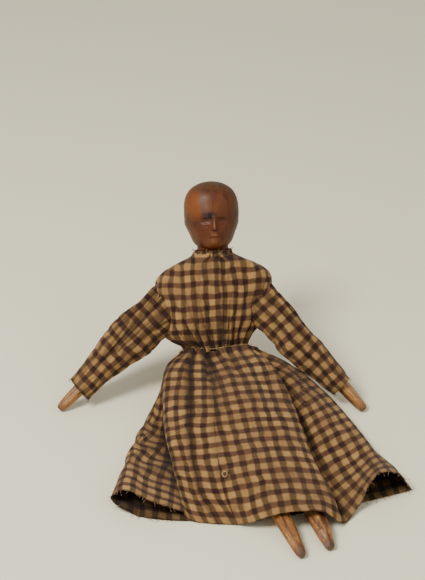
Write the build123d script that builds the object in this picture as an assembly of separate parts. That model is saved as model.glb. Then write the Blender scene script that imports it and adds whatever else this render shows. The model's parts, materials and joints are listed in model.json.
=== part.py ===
from build123d import *
from math import cos, radians, sin
import os

# A whittled wooden doll in a gathered gingham dress, sitting with its legs out in front.
# Millimetres. +Z is up and the doll faces -Y. The origin is on the surface it sits on,
# straight below the middle of the hip dowel. "Right" is the doll's own right, at -X.
# Parts of the torso are drawn upright about the hip dowel, then leaned back together.

# The pose at rest, in degrees
RECLINE = 25.0                                # torso leans back from upright
ARM_SPREAD = {"left": 37.6, "right": 48.0}    # arm out to the side, from hanging straight
ARM_FORWARD = {"left": 20.1, "right": 8.6}    # arm swung forward of the torso
LEG_TURN = {"left": 11.3, "right": 13.5}      # both legs point a little to the doll's left

# Heights along the torso, from the hip dowel
HIP_HEIGHT = 11.0                             # hip dowel above the surface
SHOULDER_LEVEL = 67.0
NECK_LEVEL = 90.0
CROWN_LEVEL = 145.0

# Joints
HIP_DOWEL_R = 5.0
HIP_DOWEL_HALF = 19.5
HIP_PIN_X = 14.0
SHOULDER_X = 27.0                             # shoulder pin from the middle of the torso
SHOULDER_DOWEL_R = 5.0
SHOULDER_BALL_R = 7.5
DOWEL_INNER_X = 8.5                           # buried end of a shoulder dowel
PIN_R = 1.25
PEG_R = 1.2
TONGUE_HALF_WIDTH = 4.5
ARM_TONGUE = 4.6
LEG_TONGUE = 4.2
SLOT_ROOM = 0.4                               # slot wider than the tongue
RUNNING_FIT = 0.05                            # radial, on dowels and pins that turn
GROOVE_WIDTH = 3.0
GROOVE_ROOM = 0.15                            # groove floor to the peg that runs in it

# Wooden parts
BARREL_R = 8.5                                # rounded bottom of the torso
NECK_R = 12.25
NECK_PLUG_R = 5.95
NECK_PLUG_LENGTH = 15.0
ARM_LENGTH = 123.0
LEG_LENGTH = {"left": 191.0, "right": 198.0}  # whittled by eye, so not quite a pair
LEG_R = 6.6

# Cloth
CLOTH = 1.2                                   # gathered cotton, with its folds
BODICE_SWEEP_R = 24.0                         # bottom of the bodice stays outside this one
ARMHOLE_R = 14.0

SIDES = {"left": 1, "right": -1}


def leaned(shape):
    """Place a shape drawn upright about the hip dowel into the leaning torso."""
    return Location((0, 0, HIP_HEIGHT), (-RECLINE, 0, 0)) * shape


def bar(radius, length, middle, direction):
    """A round bar about its middle point, along X or Y."""
    turn = {"x": (0, 90, 0), "y": (90, 0, 0)}[direction]
    return Location(middle, turn) * Cylinder(radius, length)


def tongue(thickness, reach):
    """A flat tongue round a pin along Z: rounded behind the pin, reaching along -Y."""
    width = 2 * TONGUE_HALF_WIDTH
    blade = Pos(0, -reach / 2, 0) * Box(width, reach, thickness)
    blade += Cylinder(TONGUE_HALF_WIDTH, thickness)
    return blade - Cylinder(PIN_R + RUNNING_FIT, 2 * thickness)


# ------------------------------------------------------------------ torso
# A board-like block, narrow between the hips, wider at the chest, rounded off below.

SHOULDER_PEG_X = 13.0
SHOULDER_PEG_LEVEL = SHOULDER_LEVEL + SHOULDER_DOWEL_R - 0.4
NECK_PEG_X = NECK_PLUG_R - 0.45
NECK_PEG_LEVEL = NECK_LEVEL - 7.0
CHEST_DEPTH = 20.0
HIP_WIDTH = 12.0


def torso_block():
    stations = [                              # level, width, depth
        (-BARREL_R, HIP_WIDTH, 14), (12, HIP_WIDTH, 14), (22, 34, 14), (42, 34, 14),
        (56, 35, CHEST_DEPTH), (78, 35, CHEST_DEPTH), (NECK_LEVEL, 24, 17),
    ]
    sections = [Pos(0, 0, level) * RectangleRounded(width, depth, 3) for level, width, depth in stations]
    block = loft(sections, ruled=True)
    barrel = bar(BARREL_R, HIP_WIDTH, (0, 0, 0), "x")
    block = (block + barrel) & (Pos(0, 0, 50) * Box(60, 40, 100) + barrel)
    block -= bar(HIP_DOWEL_R + RUNNING_FIT, 40, (0, 0, 0), "x")
    bore_depth = NECK_PLUG_LENGTH + 0.5
    neck_bore = Cylinder(NECK_PLUG_R + RUNNING_FIT, bore_depth + 1)
    block -= Pos(0, 0, NECK_LEVEL - (bore_depth - 1) / 2) * neck_bore
    block -= bar(PEG_R, 30, (NECK_PEG_X, 0, NECK_PEG_LEVEL), "y")
    for side in SIDES.values():
        bore_end = DOWEL_INNER_X - 0.4
        middle = (side * (bore_end + 20), 0, SHOULDER_LEVEL)
        block -= bar(SHOULDER_DOWEL_R + RUNNING_FIT, 40, middle, "x")
        block -= bar(PEG_R, 30, (side * SHOULDER_PEG_X, 0, SHOULDER_PEG_LEVEL), "y")
    return leaned(block)


def retaining_peg(x, level):
    """A peg driven through the block from the back, which keeps a dowel from pulling out."""
    return leaned(bar(PEG_R, CHEST_DEPTH, (x, 0, level), "y"))


# ------------------------------------------------------------------ head
# Head, neck and plug are one carved piece. The plug turns in the top of the torso.

def groove(radius, depth, middle, direction):
    ring = bar(radius + 1, GROOVE_WIDTH, middle, direction)
    return ring - bar(radius - depth, GROOVE_WIDTH, middle, direction)


def head():
    neck_foot = NECK_LEVEL + 0.3
    jaw = neck_foot + 6.5
    with BuildPart() as turned:
        with BuildSketch(Plane.XZ):
            with BuildLine():
                Polyline(
                    (0, NECK_LEVEL - NECK_PLUG_LENGTH), (NECK_PLUG_R, NECK_LEVEL - NECK_PLUG_LENGTH),
                    (NECK_PLUG_R, neck_foot), (NECK_R, neck_foot), (NECK_R, jaw),
                )
                Spline(
                    (NECK_R, jaw), (19.2, jaw + 14), (20.4, jaw + 26), (15.2, jaw + 41), (0, CROWN_LEVEL),
                    tangents=[(0.9, 1), (-1, 0)],
                )
                Line((0, CROWN_LEVEL), (0, NECK_LEVEL - NECK_PLUG_LENGTH))
            make_face()
        revolve(axis=Axis.Z)
    peg_inner = NECK_PEG_X - PEG_R
    cutter = Cylinder(NECK_PLUG_R + 1, GROOVE_WIDTH) - Cylinder(peg_inner - GROOVE_ROOM, GROOVE_WIDTH)
    return leaned(turned.part - Pos(0, 0, NECK_PEG_LEVEL) * cutter)


# ------------------------------------------------------------------ shoulders
# A ball-headed dowel turns in each side of the torso. Its slotted ball holds the arm's
# tongue on a pin, so the arm swings forward with the dowel and spreads on the pin.

def at_shoulder(side, shape):
    turned = Rot(-ARM_FORWARD[side], 0, 0) * shape
    return leaned(Pos(SIDES[side] * SHOULDER_X, 0, SHOULDER_LEVEL) * turned)


def shoulder_dowel(side):
    out = SIDES[side]
    shaft_length = SHOULDER_X - DOWEL_INNER_X
    dowel = bar(SHOULDER_DOWEL_R, shaft_length, (-out * shaft_length / 2, 0, 0), "x")
    groove_x = -out * (SHOULDER_X - SHOULDER_PEG_X)
    peg_inner = SHOULDER_PEG_LEVEL - SHOULDER_LEVEL - PEG_R
    dowel -= groove(SHOULDER_DOWEL_R, SHOULDER_DOWEL_R - peg_inner + GROOVE_ROOM, (groove_x, 0, 0), "x")
    dowel += Sphere(SHOULDER_BALL_R)
    slot_floor = TONGUE_HALF_WIDTH + 0.6
    slot_length = slot_floor + SHOULDER_BALL_R + 1
    slot = Box(slot_length, ARM_TONGUE + SLOT_ROOM, 3 * SHOULDER_BALL_R)
    dowel -= Pos(out * (slot_length / 2 - slot_floor), 0, 0) * slot
    return at_shoulder(side, dowel - bar(PIN_R, 20, (0, 0, 0), "y"))


def shoulder_pin(side):
    return at_shoulder(side, bar(PIN_R, 2 * SHOULDER_BALL_R - 1, (0, 0, 0), "y"))


# ------------------------------------------------------------------ arms
# One whittled stick each: a tongue at the shoulder and a plain tapered hand.

ARM_SHAFT_START = 11.0
SLEEVE_START = 14.5
SLEEVE_END = 101.0


def along_arm(side, shape):
    """Place a shape drawn along -Z from the shoulder pin."""
    return at_shoulder(side, Rot(0, -SIDES[side] * ARM_SPREAD[side], 0) * shape)


def arm(side):
    with BuildPart() as shaft:
        with BuildSketch(Plane.XZ):
            with BuildLine():
                Polyline(
                    (0, -ARM_SHAFT_START), (5.6, -ARM_SHAFT_START), (5.6, -58), (3.9, -100),
                    (2.6, 2.0 - ARM_LENGTH), (1.2, -ARM_LENGTH), (0, -ARM_LENGTH), close=True,
                )
            make_face()
        revolve(axis=Axis.Z)
    flat = Rot(90, 0, 0) * tongue(ARM_TONGUE, ARM_SHAFT_START + 1)
    return along_arm(side, shaft.part + flat)


def sleeve(side):
    """A loose cloth tube from the shoulder to the wrist, open at the wrist."""
    outer = [(12.2, SLEEVE_START), (13.2, 36), (12.6, 66), (10.4, SLEEVE_END)]      # radius, distance
    outline = [(radius, -distance) for radius, distance in outer]
    outline += [(radius - CLOTH, -distance) for radius, distance in reversed(outer)]
    tube = revolve(Plane.XZ * make_face(Polyline(*outline, close=True)), Axis.Z)
    return along_arm(side, tube)


# ------------------------------------------------------------------ hips and legs
# One dowel runs through the bottom of the torso, and each slotted end carries a leg.

def hip_dowel():
    dowel = bar(HIP_DOWEL_R, 2 * HIP_DOWEL_HALF, (0, 0, 0), "x")
    slot_floor = HIP_PIN_X - TONGUE_HALF_WIDTH - 1.6
    slot_length = HIP_DOWEL_HALF - slot_floor + 1
    for side in SIDES.values():
        middle = side * (slot_floor + slot_length / 2)
        dowel -= Pos(middle, 0, 0) * Box(slot_length, 20, LEG_TONGUE + SLOT_ROOM)
        dowel -= Pos(side * HIP_PIN_X, 0, 0) * Cylinder(PIN_R, 20)
    return Pos(0, 0, HIP_HEIGHT) * dowel


def hip_pin(side):
    return Pos(SIDES[side] * HIP_PIN_X, 0, HIP_HEIGHT) * Cylinder(PIN_R, 2 * HIP_DOWEL_R - 1)


LEG_SHAFT_START = 12.5


def leg(side):
    """A tapered stick with a tongue at the hip, running down to a worn pointed foot."""
    length = LEG_LENGTH[side]
    taper_start = 150.0
    tip_r = 3.4
    stations = [                              # distance, radius, height of the middle
        (LEG_SHAFT_START, 6.2, 0), (60, LEG_R, -0.9), (taper_start, LEG_R, -2.4),
        (taper_start + 24, 5.0, -4.9), (length, tip_r, tip_r + 0.3 - HIP_HEIGHT),
    ]
    rings = [Plane.XZ.offset(distance) * (Pos(0, height) * Circle(radius))
             for distance, radius, height in stations]
    shaft = loft(rings, ruled=True)
    tip = shaft.faces().sort_by(Axis.Y)[0]
    shaft = fillet(tip.edges(), 1.6)
    whole = shaft + tongue(LEG_TONGUE, LEG_SHAFT_START + 1)
    return Pos(SIDES[side] * HIP_PIN_X, 0, HIP_HEIGHT) * Rot(0, 0, LEG_TURN[side]) * whole


# ------------------------------------------------------------------ bodice
# A front and a back half, gathered to the waist and to the neck. The armholes are
# round, so that the sleeves clear them as the arms move.

BODICE_STATIONS = [                           # level, half width, half depth
    (14, 24.5, 14.2), (27, 25, 15), (38, 24, 17.5), (54, 24, 18), (70, 30, 17),
    (80, 31, 16.5), (87, 24, 15.5), (91, 14.6, 14.6),
]


def blouse(inset, overrun):
    stations = list(BODICE_STATIONS)
    if overrun:
        first, last = stations[0], stations[-1]
        stations[0] = (first[0] - overrun,) + first[1:]
        stations[-1] = (last[0] + overrun,) + last[1:]
    rings = [Pos(0, 0, level) * Ellipse(wide - inset, deep - inset) for level, wide, deep in stations]
    return loft(rings, ruled=True)


def bodice(half):
    shell = blouse(0, 0) - blouse(CLOTH, 0.5)
    shell -= bar(BODICE_SWEEP_R, 80, (0, 0, 0), "x")
    for side in SIDES.values():
        shell -= Pos(side * SHOULDER_X, 0, SHOULDER_LEVEL) * Sphere(ARMHOLE_R)
    middle = {"front": -20, "back": 20}[half]
    return leaned(shell & Pos(0, middle, 50) * Box(100, 40, 120))


def neck_binding():
    """The turned and gathered edge of the neckline, which stands round the neck."""
    ring = Cylinder(14.6, 2.5) - Cylinder(NECK_R + 0.6, 2.5)
    return leaned(Pos(0, 0, BODICE_STATIONS[-1][0] + 1.25) * ring)


# ------------------------------------------------------------------ skirt
# Two breadths of cloth seamed at the sides: the back one lies flat on the surface under
# the legs, the front one is a tent over them. The hem stands open in a fold at each side.

HEM_Y = -153.0


def skirt_station(y, outline, inset):
    shape = make_face(Polyline(*[(x, y, z) for x, z in outline], close=True))
    if inset:
        shape = offset(shape, -inset, kind=Kind.INTERSECTION)
    return shape


def tent(inset):
    stations = [
        (18, [(-24, 0), (-23, 10), (-17, 20), (-8, 24), (8, 24), (17, 20), (23, 10), (24, 0)]),
        (3, [(-38, 0), (-34, 12), (-26, 24), (-12, 33), (12, 33), (27, 24), (37, 12), (41, 0)]),
        (-14, [(-46, 0), (-42, 11), (-31, 25), (-13, 32), (16, 32), (36, 26), (50, 12), (57, 0)]),
        (-42, [(-57, 0), (-52, 9), (-38, 24), (-14, 33), (26, 33), (50, 25), (70, 9), (77, 0)]),
        (-98, [(-78, 0), (-70, 9), (-52, 17), (-16, 22), (48, 27), (70, 22), (92, 11), (100, 0)]),
        (HEM_Y, [(-88, 0), (-80, 12), (-62, 15), (-34, 5), (3, 19), (66, 19), (92, 25), (114, 0)]),
    ]
    if inset:
        stations[0] = (stations[0][0] - inset, stations[0][1])
        stations[-1] = (HEM_Y - 0.5, stations[-1][1])
    return loft([skirt_station(y, outline, inset) for y, outline in stations], ruled=True)


def skirt(breadth):
    shell = tent(0) - tent(CLOTH)
    waist_opening = Pos(0, 0, 26) * Box(37.4, 29.2, 28)
    shell -= leaned(waist_opening)
    low, high = {"back": (-1, CLOTH), "front": (CLOTH, 60)}[breadth]
    return shell & Pos(0, -70, (low + high) / 2) * Box(260, 240, high - low)


# ------------------------------------------------------------------ all parts
parts = {
    "torso_block": torso_block(),
    "neck_peg": retaining_peg(NECK_PEG_X, NECK_PEG_LEVEL),
    "head": head(),
    "bodice_front": bodice("front"),
    "bodice_back": bodice("back"),
    "neck_binding": neck_binding(),
    "hip_dowel": hip_dowel(),
    "skirt_front": skirt("front"),
    "skirt_back": skirt("back"),
}
for side, out in SIDES.items():
    parts[f"shoulder_peg_{side}"] = retaining_peg(out * SHOULDER_PEG_X, SHOULDER_PEG_LEVEL)
    parts[f"shoulder_dowel_{side}"] = shoulder_dowel(side)
    parts[f"shoulder_pin_{side}"] = shoulder_pin(side)
    parts[f"arm_{side}"] = arm(side)
    parts[f"sleeve_{side}"] = sleeve(side)
    parts[f"hip_pin_{side}"] = hip_pin(side)
    parts[f"leg_{side}"] = leg(side)

os.makedirs("parts", exist_ok=True)
for name, part in parts.items():
    export_step(part, f"parts/{name}.step")

# Joint places and directions, printed for the record
for side, out in SIDES.items():
    lean = radians(RECLINE)
    pin_lean = radians(RECLINE + ARM_FORWARD[side])
    place = (out * SHOULDER_X, SHOULDER_LEVEL * sin(lean), HIP_HEIGHT + SHOULDER_LEVEL * cos(lean))
    print(side, "shoulder", [round(value, 4) for value in place],
          "spread axis", [0, round(cos(pin_lean), 6), round(-sin(pin_lean), 6)])
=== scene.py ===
import json
from math import atan2, cos, exp, hypot, pi, radians, sin, sqrt
import bmesh
import bpy
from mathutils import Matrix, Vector, noise
from mathutils.bvhtree import BVHTree


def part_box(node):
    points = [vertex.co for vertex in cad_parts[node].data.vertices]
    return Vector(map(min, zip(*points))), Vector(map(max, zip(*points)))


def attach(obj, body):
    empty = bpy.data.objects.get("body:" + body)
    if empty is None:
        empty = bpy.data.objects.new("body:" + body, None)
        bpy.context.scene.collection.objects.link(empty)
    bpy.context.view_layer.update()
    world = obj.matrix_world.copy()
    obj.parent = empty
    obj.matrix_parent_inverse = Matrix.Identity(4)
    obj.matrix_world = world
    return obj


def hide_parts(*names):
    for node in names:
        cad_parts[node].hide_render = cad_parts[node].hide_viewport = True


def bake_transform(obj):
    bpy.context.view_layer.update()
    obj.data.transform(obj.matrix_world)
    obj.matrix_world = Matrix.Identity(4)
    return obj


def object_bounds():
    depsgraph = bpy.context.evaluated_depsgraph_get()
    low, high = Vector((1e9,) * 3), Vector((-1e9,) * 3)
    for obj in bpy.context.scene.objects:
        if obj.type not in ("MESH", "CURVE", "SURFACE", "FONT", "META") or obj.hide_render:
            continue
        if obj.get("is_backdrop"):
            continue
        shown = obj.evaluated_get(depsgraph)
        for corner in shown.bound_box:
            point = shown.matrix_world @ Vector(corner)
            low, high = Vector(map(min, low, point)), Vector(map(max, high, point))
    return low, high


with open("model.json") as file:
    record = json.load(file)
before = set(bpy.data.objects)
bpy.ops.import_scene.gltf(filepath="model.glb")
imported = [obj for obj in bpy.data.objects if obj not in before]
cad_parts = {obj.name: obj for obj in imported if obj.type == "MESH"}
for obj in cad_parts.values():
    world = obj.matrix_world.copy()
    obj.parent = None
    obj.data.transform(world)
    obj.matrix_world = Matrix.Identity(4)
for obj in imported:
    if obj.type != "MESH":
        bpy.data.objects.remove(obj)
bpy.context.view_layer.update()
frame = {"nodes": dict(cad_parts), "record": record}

# ---------------------------------------------------------------- the doll's own lines
# The torso leans back about the hip dowel, and each limb lies along a line of its own,
# so pieces are shaped upright in millimetres and then laid on these lines.
joints = {joint["name"]: joint for joint in frame["record"]["behaviour"]["joints"]}
hip = Vector(joints["hip_bend"]["pos_m"])
torso_up = Vector(joints["neck_turn"]["axis"]).normalized()
torso_front = Vector((1, 0, 0)).cross(torso_up).normalized() * -1
if torso_front.y > 0:
    torso_front.negate()
SIDES = {"left": 1, "right": -1}
MM = 0.001


def on_torso(x, level, front):
    """A point of the leaning torso: across, up from the hip dowel, and forward."""
    return hip + (Vector((x, 0, 0)) + torso_up * level + torso_front * front) * MM


def arm_line(side):
    """The shoulder pin, the way the arm points, and its length."""
    pin = Vector(joints[f"arm_spread_{side}"]["pos_m"])
    hinge = Vector(joints[f"arm_spread_{side}"]["axis"]).normalized()
    down = Vector((1, 0, 0)).cross(hinge)
    if down.z > 0:
        down.negate()
    low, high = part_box(f"arm_{side}")
    across = (high.x if side == "left" else low.x) - pin.x
    line = Vector((across, 0, 0)) + down * ((pin.z - low.z) / -down.z)
    return pin, line.normalized(), line.length / MM


# ---------------------------------------------------------------- wood
# Straight-grained softwood, cut with a knife and handled for years: streaks along the
# grain, dull scratches, darker where hands and the floor have rubbed it.
def group_sockets(name, inputs, outputs):
    tree = bpy.data.node_groups.new(name, "ShaderNodeTree")
    for label, kind, value in inputs:
        socket = tree.interface.new_socket(label, in_out="INPUT", socket_type=kind)
        if value is not None:
            socket.default_value = value
    for label, kind in outputs:
        tree.interface.new_socket(label, in_out="OUTPUT", socket_type=kind)
    return tree, tree.nodes.new("NodeGroupInput"), tree.nodes.new("NodeGroupOutput")


def math_node(tree, operation, first, second=None, third=None):
    node = tree.nodes.new("ShaderNodeMath")
    node.operation = operation
    for socket, value in zip(node.inputs, (first, second, third)):
        if value is None:
            continue
        if isinstance(value, (int, float)):
            socket.default_value = value
        else:
            tree.links.new(value, socket)
    return node.outputs[0]


def mix_colour(tree, factor, first, second, blend="MIX"):
    node = tree.nodes.new("ShaderNodeMix")
    node.data_type = "RGBA"
    node.blend_type = blend
    for socket, value in ((node.inputs[0], factor), (node.inputs[6], first), (node.inputs[7], second)):
        if isinstance(value, (int, float)):
            socket.default_value = value
        elif isinstance(value, tuple):
            socket.default_value = (*value, 1)
        else:
            tree.links.new(value, socket)
    return node.outputs[2]


def ramp(tree, value, low, high, top=1.0):
    """An eased rise from 0 to top as the value goes from low to high."""
    node = tree.nodes.new("ShaderNodeMapRange")
    node.interpolation_type = "SMOOTHSTEP"
    node.inputs["From Min"].default_value = low
    node.inputs["From Max"].default_value = high
    node.inputs["To Max"].default_value = top
    tree.links.new(value, node.inputs["Value"])
    return node.outputs[0]


def noise_node(tree, vector, scale, detail=4, roughness=0.55):
    node = tree.nodes.new("ShaderNodeTexNoise")
    node.inputs["Scale"].default_value = scale
    node.inputs["Detail"].default_value = detail
    node.inputs["Roughness"].default_value = roughness
    tree.links.new(vector, node.inputs["Vector"])
    return node.outputs["Fac"]


def mapped(tree, vector, kind="POINT", **settings):
    """A vector moved, turned or scaled: the settings are Location, Rotation and Scale."""
    node = tree.nodes.new("ShaderNodeMapping")
    node.vector_type = kind
    for label, value in settings.items():
        node.inputs[label].default_value = value
    tree.links.new(vector, node.inputs["Vector"])
    return node.outputs[0]


def grain_group():
    """Grain along the Z of its vector, which is in metres."""
    tree, given, out = group_sockets(
        "wood_grain",
        [("Vector", "NodeSocketVector", None), ("Pale", "NodeSocketColor", None),
         ("Middle", "NodeSocketColor", None), ("Dark", "NodeSocketColor", None)],
        [("Colour", "NodeSocketColor"), ("Height", "NodeSocketFloat"), ("Roughness", "NodeSocketFloat")],
    )
    stretched = mapped(tree, given.outputs["Vector"], Scale=(1, 1, 0.07))
    fibres = noise_node(tree, stretched, 1400, 3)
    bands = noise_node(tree, stretched, 320, 2)
    patches = noise_node(tree, given.outputs["Vector"], 75, 3)
    pale, middle, dark = (given.outputs[label] for label in ("Pale", "Middle", "Dark"))
    base = mix_colour(tree, ramp(tree, patches, 0.35, 0.68), pale, middle)
    banded = mix_colour(tree, ramp(tree, bands, 0.5, 0.72), base, dark)
    colour = mix_colour(tree, ramp(tree, fibres, 0.56, 0.74, 0.6), banded, dark)
    height = math_node(tree, "MULTIPLY_ADD", fibres, -0.6, bands)
    rough = math_node(tree, "MULTIPLY_ADD", patches, 0.3, 0.3)
    for label, value in (("Colour", colour), ("Height", height), ("Roughness", rough)):
        tree.links.new(value, out.inputs[label])
    return tree


WOOD_GRAIN = grain_group()


def new_material(name):
    material = bpy.data.materials.new(name)
    material.use_nodes = True
    return material, material.node_tree, material.node_tree.nodes["Principled BSDF"]


def grained(tree, along, pale, middle, dark):
    """The grain node for fibres that run along a direction, its vector, and the plain one."""
    coords = tree.nodes.new("ShaderNodeTexCoord").outputs["Object"]
    turned = mapped(tree, coords, Rotation=along.rotation_difference(Vector((0, 0, 1))).to_euler())
    grain = tree.nodes.new("ShaderNodeGroup")
    grain.node_tree = WOOD_GRAIN
    tree.links.new(turned, grain.inputs["Vector"])
    for label, colour in (("Pale", pale), ("Middle", middle), ("Dark", dark)):
        grain.inputs[label].default_value = (*colour, 1)
    return grain, turned, coords


def add_bump(tree, shader, height, strength, distance):
    bump = tree.nodes.new("ShaderNodeBump")
    bump.inputs["Strength"].default_value = strength
    bump.inputs["Distance"].default_value = distance
    tree.links.new(height, bump.inputs["Height"])
    tree.links.new(bump.outputs[0], shader.inputs["Normal"])


def bare_wood(name, along):
    """Unpainted wood of the hidden parts."""
    material, tree, shader = new_material(name)
    grain, _, _ = grained(tree, along, (0.46, 0.3, 0.15), (0.38, 0.22, 0.1), (0.2, 0.1, 0.04))
    tree.links.new(grain.outputs["Colour"], shader.inputs["Base Color"])
    tree.links.new(grain.outputs["Roughness"], shader.inputs["Roughness"])
    add_bump(tree, shader, grain.outputs["Height"], 0.4, 0.0002)
    return material


# ---------------------------------------------------------------- torso, dowels and pegs
# The board-like torso block, and the dowels, pins and pegs that the joints turn on.
# They are hidden by the dress, and keep the shapes that they were cut to.
def paint_node(node, material):
    piece = frame["nodes"][node]
    piece.data.materials.clear()
    piece.data.materials.append(material)


torso_wood = bare_wood("torso_wood", torso_up)
dowel_wood = bare_wood("dowel_wood", Vector((1, 0, 0)))
peg_wood = bare_wood("peg_wood", torso_front)
paint_node("torso_block", torso_wood)
paint_node("hip_dowel", dowel_wood)
for node in ("neck_peg", "shoulder_peg_left", "shoulder_peg_right", "hip_pin_left", "hip_pin_right",
             "shoulder_pin_left", "shoulder_pin_right"):
    paint_node(node, peg_wood)
for side in SIDES:
    paint_node(f"shoulder_dowel_{side}", dowel_wood)


# ---------------------------------------------------------------- head
# One carved block: a smooth egg-shaped cranium, a small shallow face, a short round neck
# and the plug below it. Varnished and darkened with age.
CHIN_LEVEL = 94.6                            # above the hip dowel
HEAD_HEIGHT = 50.4
HEAD_HALF_WIDTH = 20.2
WIDEST = 27.4                                # above the chin
FACE_START = 2.4                             # above the chin: the face is measured from there
NECK_RADIUS, NECK_TOP_RADIUS, NECK_MIDDLE = 12.2, 10.4, 98.4
PLUG_RADIUS, PLUG_MIDDLE = 5.95, 83
TURNED_LENGTH = 16                           # of the neck, and of the plug


def bulge(x, centre, width):
    """A smooth rounded rise of height 1."""
    return exp(-((x - centre) / width) ** 2)


def step(x, low, high):
    share = min(1, max(0, (x - low) / (high - low)))
    return share * share * (3 - 2 * share)


def face_relief(x, height):
    """How far the face stands forward of the plain egg, in mm, across and up from the chin."""
    height -= FACE_START
    relief = 0.9 * step(height, 21.2, 22.6) * bulge(x, 0, 12) * bulge(height, 24, 7)
    relief -= 1.3 * (bulge(x, -5.6, 3.6) + bulge(x, 5.6, 3.6)) * bulge(height, 19.6, 2.3)
    relief += 0.3 * (bulge(x, -5.8, 2.6) + bulge(x, 5.8, 2.6)) * bulge(height, 17.4, 1.0)
    relief -= 0.2 * (bulge(x, -5.8, 3.0) + bulge(x, 5.8, 3.0)) * bulge(height, 16.1, 0.7)
    nose_width = 1.25 + 0.09 * (22 - height)
    nose = step(height, 12.7, 13.9) * (1 - step(height, 20.5, 25)) * (1.3 + 0.2 * (22 - height))
    relief += max(0, nose) * bulge(x, 0, nose_width)
    relief -= 0.35 * (bulge(x, -3.1, 1.0) + bulge(x, 3.1, 1.0)) * bulge(height, 14.5, 2.2)
    relief += 0.75 * bulge(x, 0, 3.6) * bulge(height, 9.9, 2.0)
    relief -= 0.75 * bulge(x, 0, 3.2) * bulge(height, 10.1 - 0.03 * x * x, 0.42)
    relief -= 0.4 * bulge(x, 0, 3.0) * bulge(height, 7.6, 0.8)
    relief += 1.0 * bulge(x, 0, 4.2) * bulge(height, 3.6, 2.6)
    relief += 0.4 * (bulge(x, -9, 4) + bulge(x, 9, 4)) * bulge(height, 13.5, 4)
    return relief


def egg(direction):
    """The plain head for a direction on a ball: across, forward and up from the chin."""
    height = HEAD_HEIGHT * (1 + direction.z) / 2
    if height > WIDEST:
        share = (height - WIDEST) / (HEAD_HEIGHT - WIDEST)
        width = HEAD_HALF_WIDTH * sqrt(max(0, 1 - share ** 3))
        front, back = width * 0.97, width * 1.1
    else:
        share = (WIDEST - height) / WIDEST
        width = HEAD_HALF_WIDTH * max(0, 1 - share ** 2.1) ** 0.38 * (1 - 0.05 * bulge(height, 12, 5))
        front = 19.4 * max(0, 1 - share ** 20) ** 0.5 - 3.0 * share ** 2
        back = 22.2 * max(0, 1 - share ** 2) ** 0.5
    ring = hypot(direction.x, direction.y) or 1
    across, forward = direction.x / ring, -direction.y / ring
    depth = front if forward > 0 else back
    return across * width, forward * depth, height


head_mesh = bmesh.new()
bmesh.ops.create_uvsphere(head_mesh, u_segments=260, v_segments=200, radius=1)
for vert in head_mesh.verts:
    across, forward, height = egg(vert.co)
    if forward > 0:
        forward += face_relief(across, height) * step(forward, 2, 9)
    for side in SIDES.values():              # a low ear, left by the knife
        ear = 0.55 * bulge(forward, -1.5, 2.2) * bulge(height, 20, 2.4)
        across += side * ear * step(side * across, 12, 18)
    cut = noise.noise(Vector((across, forward, height)) * 0.16)
    scale = 1 + 0.012 * cut
    vert.co = on_torso(across * scale, CHIN_LEVEL + height, forward * scale)
for foot_radius, top_radius, middle, segments in (
        (NECK_RADIUS, NECK_TOP_RADIUS, NECK_MIDDLE, 96), (PLUG_RADIUS, PLUG_RADIUS, PLUG_MIDDLE, 48)):
    turned = bmesh.ops.create_cone(head_mesh, cap_ends=True, segments=segments, radius1=foot_radius,
                                   radius2=top_radius, depth=TURNED_LENGTH)
    for vert in turned["verts"]:
        vert.co = on_torso(vert.co.x, middle + vert.co.z, -vert.co.y)
bmesh.ops.recalc_face_normals(head_mesh, faces=head_mesh.faces)


def finish_piece(name, mesh, material, body, smooth=True):
    """Turn a bmesh into a piece of the doll that moves with a body."""
    data = bpy.data.meshes.new(name)
    mesh.to_mesh(data)
    mesh.free()
    data.materials.append(material)
    if smooth:
        data.shade_smooth()
    piece = bpy.data.objects.new(name, data)
    bpy.context.scene.collection.objects.link(piece)
    if body:
        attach(piece, body)
    return piece


def wobbled(tree, vector, scale, detail, reach, centre):
    """The three parts of a vector that noise has moved by up to reach, in metres. A noise
    of centre moves it nowhere."""
    cloud = tree.nodes.new("ShaderNodeTexNoise")
    cloud.inputs["Scale"].default_value = scale
    cloud.inputs["Detail"].default_value = detail
    tree.links.new(vector, cloud.inputs["Vector"])
    moved = tree.nodes.new("ShaderNodeVectorMath")
    moved.operation = "MULTIPLY_ADD"
    tree.links.new(cloud.outputs["Color"], moved.inputs[0])
    moved.inputs[1].default_value = (reach, reach, reach)
    tree.links.new(mapped(tree, vector, Location=[-centre * reach] * 3), moved.inputs[2])
    split = tree.nodes.new("ShaderNodeSeparateXYZ")
    tree.links.new(moved.outputs[0], split.inputs[0])
    return split.outputs


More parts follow.
